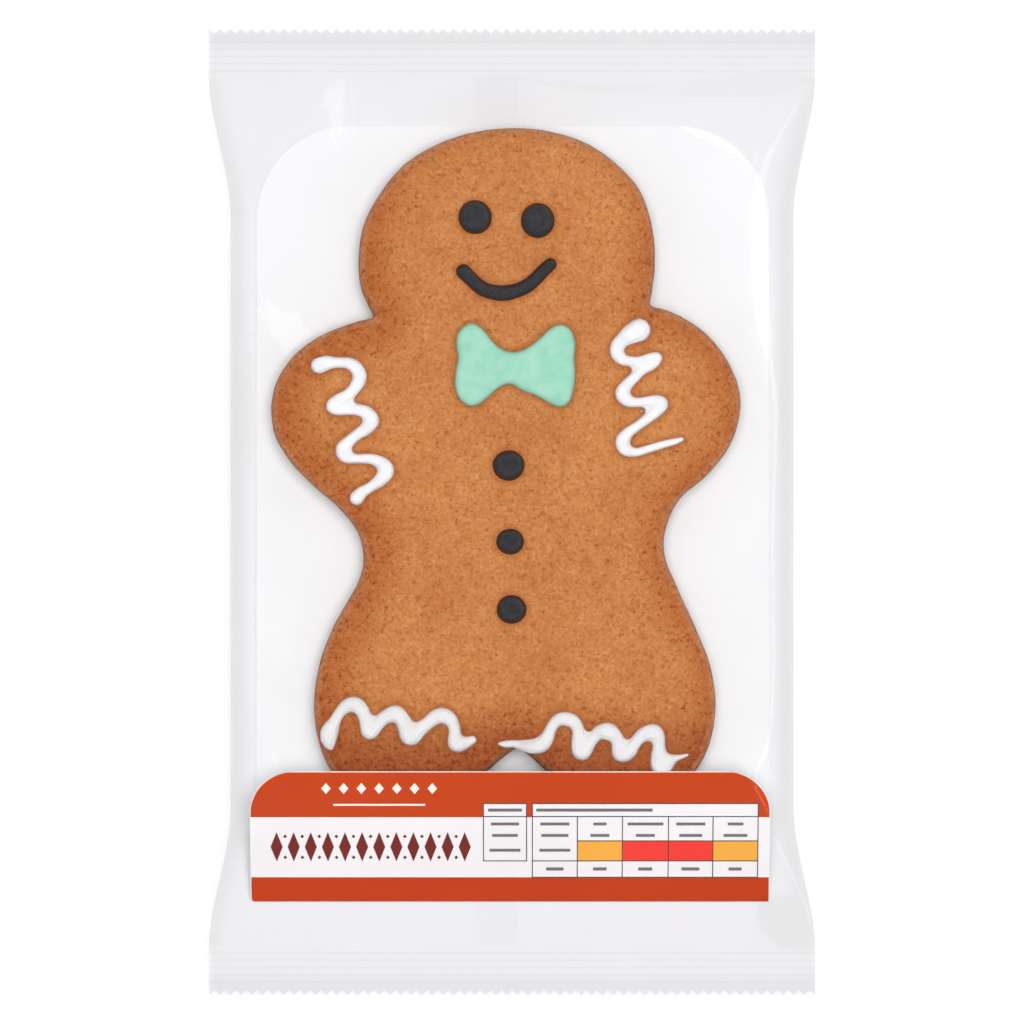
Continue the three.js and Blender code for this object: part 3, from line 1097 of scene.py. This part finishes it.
# Patches where the film is tinted darker, by their edge: a fold over the foot seal and the folds under
# the head seal, film lying double and painted shade, and the tent over the crown, painted shade alone
doubledAndShaded = {
    "footFold": [(50.6, -82.0), (51.6, -79.6), (54.4, -79.2), (59.0, -80.4), (61.0, -84.0), (62.3, -90.0),
                 (58.0, -90.6), (54.0, -89.0), (51.4, -86.0)],
    "rightFold": [(-3.0, 90.2), (14.0, 89.0), (29.0, 88.8), (42.0, 90.2), (60.6, 90.6), (59.6, 88.0),
                  (44.0, 85.4), (28.0, 86.2), (12.0, 87.2)],
    "tent": [(-7.4, 90.6), (1.4, 90.6), (5.0, 78.0), (-11.4, 78.0)],
}
doubledAndShadedTone = {"footFold": 1.1, "rightFold": 0.42, "tent": 0.13}
sideTint = {"left": 1.1, "right": 1.45, "reach": 4.2}   # painted shade: the film is tinted darker towards the folds of its sides, more on the right
# Small creases that run out from each weld
weldCreases = {
    "perEnd": 14, "reach": (4, 13), "lean": 0.22, "stray": 0.12,
    "width": (0.6, 1.3), "height": (0.04, 0.12),
}
# The welds sway up and down, and the crimp wanders across them
weldSway = {"height": 0.16, "lengths": (17, 7.3), "turn": 1.3, "pinch": 0.38}
crimpWander = {"reach": 0.1, "lengths": (13, 4.1)}
finSeal = {"left": -8.0, "right": 1.2, "below": 0.05}
filmLook = {
    "flatOn": (0.972, 0.972, 0.9775),
    "edgeOn": (0.93, 0.93, 0.94, 1.0),
    "doubledAndShaded": (0.93, 0.93, 0.933, 1.0),
    "roughness": 0.15,
    "frontGloss": 0.036, "backGloss": 0.006, "weldGloss": 0.001,
    "weldTone": 0.972,
    "weldFade": (4.6, 2.0),        # the welds grey between these distances from their points
}
sealInner = packetEnd - film["sealDepth"]


def halfWidthAt(y):
    return sealHalf - (1 - smoothStep(np.abs(y), film["waistEnd"], sealInner)) * (sealHalf - waistHalf)


def valueAt(stations, y):
    places, values = zip(*stations)
    return np.interp(y, places, values)


def softMax(first, second, softness):
    share = np.clip(0.5 + 0.5 * (first - second) / softness, 0, 1)
    return second + (first - second) * share + softness * share * (1 - share)


def ridgeLift(x, y, ridge):
    run = smoothRun(ridge, 1.0)
    gap = np.hypot(x[..., None] - run[:, 0], y[..., None] - run[:, 1])
    nearest = gap.argmin(axis=-1)
    return run[nearest, 3] * np.exp(-(gap.min(axis=-1) / run[nearest, 2]) ** 2)


# Replaces the film's height by a tilted plane between some corners.
def pucker(x, y, front, one):
    corners = np.array(one["corners"])
    x0, y0 = corners.mean(0)
    faces = math.radians(one["faces"])
    reach = np.zeros_like(x)
    for (x1, y1), (x2, y2) in zip(corners, np.roll(corners, -1, 0)):
        across = (x - x0) * (y2 - y1) - (y - y0) * (x2 - x1)
        reach = np.maximum(reach, across / ((x1 - x0) * (y2 - y1) - (y1 - y0) * (x2 - x1)))
    level = front[(reach < 1.1) & (reach > 0.9)].mean()
    wavy = 0.08 * np.sin(1.9 * x + 0.4 * y) * np.sin(1.1 * y - 0.6 * x)
    plane = level - one["slope"] * ((x - x0) * math.cos(faces) + (y - y0) * math.sin(faces)) + wavy
    return front + (plane - front) * (1 - smoothStep(reach, 0.88, 1.12))


# All that is pressed into the film or pulled up from it
def pressedIn(x, y, rng):
    lift = sum(ridgeLift(x, y, ridge) for ridge in ridges)
    dx = x - cornerStep["centre"][0]
    dy = y - cornerStep["centre"][1]
    angle = np.degrees(np.arctan2(dy, dx))
    width = valueAt(cornerStep["widths"], angle)
    outward = np.clip(np.hypot(dx, dy) - cornerStep["radius"] + width, 0, width)
    lift = lift - cornerStep["slope"] * outward
    for end in (-1, 1):
        for _ in range(weldCreases["perEnd"]):
            x0 = rng.uniform(-0.95, 0.95) * sealHalf
            reach = rng.uniform(*weldCreases["reach"])
            stray = rng.uniform(-weldCreases["stray"], weldCreases["stray"])
            lean = -x0 / sealHalf * weldCreases["lean"] + stray
            width = rng.uniform(*weldCreases["width"])
            height = rng.uniform(*weldCreases["height"])
            ridge = []
            for out, rise in ((0, 0.0), (2, height), (reach, 0.0)):
                ridge.append((x0 + lean * out, end * (sealInner - out), width, rise))
            lift = lift + ridgeLift(x, y, ridge)
    return lift


# How much darker the film is tinted: each patch's tone inside it, fading over half a millimetre, plus
# painted shade towards the side folds
def doubledAndShadedAt(x, y):
    total = np.zeros_like(x)
    for name, corners in doubledAndShaded.items():
        outline = smoothRun(corners, 0.5, closed=True)
        inside = np.zeros(x.shape, bool)
        for (x1, y1), (x2, y2) in zip(outline, np.roll(outline, -1, 0)):
            crosses = (y1 > y) != (y2 > y)
            at = x1 + (x2 - x1) * (y - y1) / (y2 - y1 if y2 != y1 else 1.0)
            inside ^= crosses & (x < at)
        gap = np.hypot(x[..., None] - outline[:, 0], y[..., None] - outline[:, 1]).min(axis=-1)
        signed = np.where(inside, gap, -gap)
        total = total + doubledAndShadedTone[name] * smoothStep(signed, -0.3, 0.5)
    # painted shade towards the side folds, stronger on the right
    side = halfWidthAt(y) - np.abs(x)
    inBody = 1 - smoothStep(np.abs(y), sealInner - 2, sealInner)
    share = np.where(x > 0, sideTint["right"], sideTint["left"])
    return total + share * (1 - smoothStep(side, 0, sideTint["reach"])) * inBody


# Lets the film settle over the contents: each point moves to the level of its neighbours, lifted a
# little by the air inside, but never below what it lies on.
def settleFilm(x, y, held, height):
    left = (x[:, 1:-1] - x[:, :-2])[1:-1]
    right = (x[:, 2:] - x[:, 1:-1])[1:-1]
    down = (y[1:-1] - y[:-2])[:, 1:-1]
    up = (y[2:] - y[1:-1])[:, 1:-1]
    fromLeft = 1 / (left * (left + right))
    fromRight = 1 / (right * (left + right))
    fromDown = 1 / (down * (down + up))
    fromUp = 1 / (up * (down + up))
    total = fromLeft + fromRight + fromDown + fromUp
    floorLevel = held[1:-1, 1:-1]
    for _ in range(film["sweeps"]):
        pull = fromLeft * height[1:-1, :-2] + fromRight * height[1:-1, 2:]
        pull += fromDown * height[:-2, 1:-1] + fromUp * height[2:, 1:-1]
        height[1:-1, 1:-1] = np.maximum((pull + film["puff"] / 2) / total, floorLevel)
    for _ in range(film["stiffening"]):
        around = height[1:-1, :-2] + height[1:-1, 2:] + height[:-2, 1:-1] + height[2:, 1:-1]
        height[1:-1, 1:-1] = np.maximum((height[1:-1, 1:-1] + around / 4) / 2, floorLevel - 0.06)
    return height


def sealWave(x, y):
    out = np.clip((np.abs(y) - sealInner) / film["sealDepth"], 0, 1)
    turn = np.sign(y) * weldSway["turn"]
    broad, fine = weldSway["lengths"]
    sway = np.sin(x / broad + turn) + 0.6 * np.sin(x / fine + 2.1 * turn)
    return weldSway["height"] * out * sway


# The rows of one seal, from its inner edge outwards: distance along the packet, depth
def grooveRows():
    half = film["grooveHalf"]
    rows = [(packetEnd - film["toothDepth"] - 0.1, 0.0)]
    for groove in range(film["grooves"]):
        middle = packetEnd - film["firstGroove"] - groove * film["groovePitch"]
        rows += [(middle + half, 0.0), (middle, film["grooveDepth"]), (middle - half, 0.0)]
    return np.array(sorted(rows))


# Gloss grows towards grazing angles, and the film greys there because it is seen through more of
# itself. The welds are greyer towards their ends.
def filmFinish(name, gloss, weldTone, tint=1.0):
    material, tree, out, at = newFinish(name)
    facing = addNode(tree, "ShaderNodeLayerWeight", {"Blend": 0.5}).outputs["Facing"]
    grazing = sums(tree, facing, 5.0, "POWER")
    share = ranged(tree, grazing, 0.0, 1.0, gloss, 1.0)
    flatOn = tuple(1 - tint * (1 - c) for c in filmLook["flatOn"]) + (1.0,)
    clear = mixed(tree, ranged(tree, facing, 0.06, 0.8), flatOn, filmLook["edgeOn"])
    # darker where the film lies double, and painted shade on the tent, the grooves and the side folds
    doubleAndShade = addNode(tree, "ShaderNodeAttribute", attribute_name="doubleAndShade").outputs["Fac"]
    clear = mixed(tree, doubleAndShade, clear, filmLook["doubledAndShaded"])
    lengthwise = addNode(tree, "ShaderNodeSeparateXYZ", {0: at}).outputs["Y"]
    starts, ends = filmLook["weldFade"]
    welded = ranged(tree, sums(tree, lengthwise, 0.0, "ABSOLUTE"), packetEnd - starts, packetEnd - ends)
    clear = mixed(tree, welded, clear, (weldTone, weldTone, weldTone, 1.0), "MULTIPLY")
    through = addNode(tree, "ShaderNodeBsdfTransparent", {"Color": clear})
    gleam = {"Color": (1, 1, 1, 1), "Roughness": filmLook["roughness"]}
    shine = addNode(tree, "ShaderNodeBsdfGlossy", gleam)
    blend = addNode(tree, "ShaderNodeMixShader", {0: share, 1: through.outputs[0], 2: shine.outputs[0]})
    tree.links.new(blend.outputs[0], out.inputs["Surface"])
    return material


# Two sheets of the same grid that share their border
def twoSheets(front, back):
    rows, columns = front.shape[:2]
    frontIndex = np.arange(rows * columns).reshape(rows, columns)
    backIndex = frontIndex.copy()
    inner = np.arange((rows - 2) * (columns - 2)).reshape(rows - 2, columns - 2)
    backIndex[1:-1, 1:-1] = rows * columns + inner
    points = np.vstack([front.reshape(-1, 3), back[1:-1, 1:-1].reshape(-1, 3)])
    faces = []
    for index, order in ((frontIndex, (0, 1, 2, 3)), (backIndex, (3, 2, 1, 0))):
        corners = [index[:-1, :-1], index[:-1, 1:], index[1:, 1:], index[1:, :-1]]
        faces += np.stack([corners[k].ravel() for k in order], axis=1).tolist()
    return points, faces


# How high the contents reach under each point of the film and its neighbours
def heldAt(x, y, contents):
    tree = treeOf(contents)
    nowhere = -9.0
    held = [heightFrom(tree, a, b, nowhere) for a, b in zip(x.ravel(), y.ravel())]
    held = np.array(held).reshape(x.shape)
    rows, columns = x.shape
    spread = held.copy()
    for up in (-1, 0, 1):
        for right in (-1, 0, 1):
            moved = held[1 + up:rows - 1 + up, 1 + right:columns - 1 + right]
            spread[1:-1, 1:-1] = np.maximum(spread[1:-1, 1:-1], moved)
    return np.where(spread > 0, spread + film["clearance"], nowhere)


# The front over what is inside, and the facets down to the sides
def frontSheet(x, y, contents):
    held = heldAt(x, y, contents)
    edge = valueAt(edgeHeights, y)
    bulge = np.where(x > 0, valueAt(rightFullness, y), valueAt(leftFullness, y))
    start = np.maximum(edge + bulge, held)
    start[0] = start[-1] = sealHeight
    front = settleFilm(x, y, held, start)
    loose = smoothStep(front - held, 0.0, 0.5)
    front += pressedIn(x, y, random.Random(film["seed"])) * loose
    for one in puckers:
        front = np.maximum(pucker(x, y, front, one), held)
    side = halfWidthAt(y) - np.abs(x)
    outer = valueAt(rightFacet, y)
    facet = edge + film["sideSlope"] * (halfWidthAt(y) - outer) + film["shineSlope"] * (outer - x)
    front = np.where(x > 0, -softMax(-front, -facet, valueAt(facetSoftness, y)), front)
    softness = np.where(x > 0, valueAt(rightSoftness, y), film["leftSoftness"])
    softness = softness * np.clip(side / 2.5, 0.02, 1)
    down = edge + side * np.maximum(film["sideSlope"], (held - edge) / np.maximum(side, 0.5))
    front = -softMax(-front, -down, softness)
    return edge + (front - edge) * (1 - smoothStep(np.abs(y), sealInner - 3, sealInner))


def backSheet(x, y):
    edge = valueAt(edgeHeights, y)
    side = halfWidthAt(y) - np.abs(x)
    lift = np.clip((np.abs(y) - film["backEnd"]) / (sealInner - film["backEnd"]), 0, 1)
    flat = film["rest"] + smoothStep(lift, 0, 1) * (sealHeight - film["rest"])
    rise = np.clip(1 - side / film["backRounding"], 0, 1) ** 2
    return flat + (np.maximum(edge, flat) - flat) * rise


def makeFilm(contents):
    teeth = round(2 * sealHalf / film["toothPitch"])
    even = np.linspace(-1, 1, 4 * teeth + 1)
    body = np.linspace(-sealInner, sealInner, film["rows"])
    halfway = (body[1:] + body[:-1]) / 2
    body = np.sort(np.concatenate([body, halfway[-film["closeRows"]:]]))
    seal = grooveRows()
    rows = np.concatenate([-seal[::-1, 0], body, seal[:, 0]])
    dips = np.concatenate([seal[::-1, 1], 0 * body, seal[:, 1]])[:, None]
    gather = film["gathered"] * (1 - smoothStep(np.abs(rows), sealInner - 16, sealInner))[:, None]
    across = even * (1 - gather) + np.sin(even * math.pi / 2) * gather
    x = across * halfWidthAt(rows)[:, None]
    y = np.repeat(rows[:, None], len(even), axis=1)
    isBody = np.abs(rows) < sealInner + 0.01
    frontZ = np.full_like(x, sealHeight)
    backZ = np.full_like(x, sealHeight)
    frontZ[isBody] = frontSheet(x[isBody], y[isBody], contents)
    backZ[isBody] = backSheet(x[isBody], y[isBody])

    # the crimp, which wanders a little across the seal, and the pinched sides of the welds
    inSeal = smoothStep(np.abs(y), sealInner - 0.2, sealInner + 0.2)
    pinch = np.zeros(len(even))
    pinch[[1, 3, 5, -2, -4, -6]] = weldSway["pinch"]
    ripple = sealWave(x, y) - dips - pinch * inSeal
    broad, fine = crimpWander["lengths"]
    wander = np.sin(x / broad + np.sign(y)) + 0.5 * np.sin(x / fine)
    y = y + crimpWander["reach"] * wander * inSeal * (dips > 0)
    gap = film["sealGap"] / 2 * inSeal
    frontZ += ripple + gap
    backZ += ripple - gap

    # the points left by the cutter
    tooth = np.abs(np.arange(len(even)) % 4 - 2) / 2
    tipY = packetEnd - film["toothDepth"] * (1 - tooth)
    x = np.vstack([x[:1], x, x[-1:]])
    y = np.vstack([-tipY, y, tipY])
    ends = [ripple[:1] + sealHeight, ripple[-1:] + sealHeight]
    frontZ = np.vstack([ends[0], frontZ, ends[1]])
    backZ = np.vstack([ends[0], backZ, ends[1]])
    frontZ[:, 0] = frontZ[:, -1] = (frontZ[:, 0] + backZ[:, 0]) / 2
    points, faces = twoSheets(np.dstack([x, y, frontZ]), np.dstack([x, y, backZ]))
    finishes = [
        filmFinish("clearFilm", filmLook["frontGloss"], filmLook["weldTone"]),
        filmFinish("backFilm", filmLook["backGloss"], filmLook["weldTone"]),
    ]
    packet = newPiece("filmPacket", points, faces, finishes)
    packet.data.polygons.foreach_set("material_index", np.repeat([0, 1], len(faces) // 2))
    doubleAndShade = doubledAndShadedAt(x, y)
    # painted shade in the pressed grooves
    doubleAndShade[1:-1] += film["grooveTone"] * (dips > 0)
    giveNumber(packet, "doubleAndShade", np.concatenate([doubleAndShade.ravel(), 0 * doubleAndShade[1:-1, 1:-1].ravel()]))
    smooth = np.zeros((len(rows) + 1, len(even) - 1), bool)
    middleRows = (y[:-1, 0] + y[1:, 0]) / 2
    smooth[:, 1:-1] = (np.abs(middleRows) < sealInner)[:, None]
    packet.data.polygons.foreach_set("use_smooth", np.tile(smooth.ravel(), 2))
    assignPiece(packet)
    inBody = np.abs(rows) < sealInner - 0.5
    makeSeam(rows[inBody], backZ[1:-1][inBody, len(even) // 2])
    return packet


# The lap of the long weld, folded flat against the back
def makeSeam(rows, backHeights):
    across = np.linspace(finSeal["left"], finSeal["right"], 7)
    x = np.repeat(across[None], len(rows), axis=0)
    y = np.repeat(rows[:, None], len(across), axis=1)
    z = np.repeat(backHeights[:, None], len(across), axis=1)
    upper = np.dstack([x, y, z - 0.3 * finSeal["below"]])
    lower = np.dstack([x, y, z - finSeal["below"]])
    points, faces = twoSheets(upper, lower)
    finish = filmFinish("weldedFilm", filmLook["weldGloss"], 1.0, 0.13)
    seam = newPiece("backSeam", points, faces, [finish], smooth=False)
    assignPiece(seam)


filmPacket = makeFilm([foldedCard, gingerbreadMan, *icing])
print("film settled:", len(filmPacket.data.polygons), "faces")

cycles = bpy.context.scene.cycles
cycles.transparent_max_bounces = 24  # from low down, many layers of film lie in line
cycles.use_light_tree = False        # four lamps are quicker without it


studio = {
    "floorSize": 6.0,
    "floorTone": (0.88, 0.88, 0.88, 1.0),
    "ambient": 0.38,
    "overhead": 0.22,       # the dark round the camera
    "cameraHeight": 1.75,
    "framedWidth": 0.2116,
}
# The first lamp lights the pieces, and the others are only mirrored by them.
lamps = {
    "topBox": {"where": (0.12, 0.12, 2.3), "size": (1.5, 1.5), "power": 49.0, "mirrored": False},
    "keyBox": {"where": (0.905, 0.0, 0.72), "size": (0.62, 0.4), "power": 1.75, "mirrored": True},
    "cornerBox": {"where": (0.55, 0.78, 0.51), "size": (1.0, 0.4), "power": 2.2, "mirrored": True},
    "fillBox": {"where": (-0.62, 0.52, 0.81), "size": (0.4, 0.4), "power": 0.85, "mirrored": True},
}


def hangLamp(name, lamp):
    light = bpy.data.lights.new(name, "AREA")
    light.shape = "RECTANGLE"
    light.size, light.size_y = lamp["size"]
    light.energy = lamp["power"]
    hung = bpy.data.objects.new(name, light)
    hung.location = lamp["where"]
    hung.rotation_euler = (-Vector(lamp["where"])).to_track_quat("-Z", "Y").to_euler()
    hung.visible_camera = False
    hung.visible_glossy = lamp["mirrored"]
    hung.visible_diffuse = not lamp["mirrored"]
    bpy.context.scene.collection.objects.link(hung)


def makeStudio():
    half = studio["floorSize"] / 2
    mesh = bpy.data.meshes.new("floor")
    corners = [(-half, -half, 0), (half, -half, 0), (half, half, 0), (-half, half, 0)]
    mesh.from_pydata(corners, [], [[0, 1, 2, 3]])
    floor = bpy.data.objects.new("floor", mesh)
    material, tree, out, _ = newFinish("paleFloor")
    closeFinish(tree, out, studio["floorTone"], 0.9, None, 0.1)
    mesh.materials.append(material)
    bpy.context.scene.collection.objects.link(floor)
    world = bpy.data.worlds.new("studio")
    world.use_nodes = True
    sky = world.node_tree
    ray = addNode(sky, "ShaderNodeTexCoord").outputs["Generated"]
    height = addNode(sky, "ShaderNodeSeparateXYZ", {0: ray}).outputs["Z"]
    level = ranged(sky, height, 0.78, 0.97, studio["ambient"], studio["overhead"], "SMOOTHSTEP")
    background = sky.nodes["Background"]
    background.inputs["Color"].default_value = (1, 1, 1, 1)
    sky.links.new(level, background.inputs["Strength"])
    bpy.context.scene.world = world
    for name, lamp in lamps.items():
        hangLamp(name, lamp)


def makeCamera():
    lens = bpy.data.cameras.new("topCamera")
    camera = bpy.data.objects.new("topCamera", lens)
    bpy.context.scene.collection.objects.link(camera)
    middle = packetDepth / 2 * mm
    camera.location = (0, 0, middle + studio["cameraHeight"])
    lens.sensor_width = 36
    lens.lens = 36 * studio["cameraHeight"] / studio["framedWidth"]
    lens.clip_end = 20
    bpy.context.scene.camera = camera


makeStudio()
makeCamera()
bpy.context.scene.view_settings.view_transform = "Standard"
print("studio set")
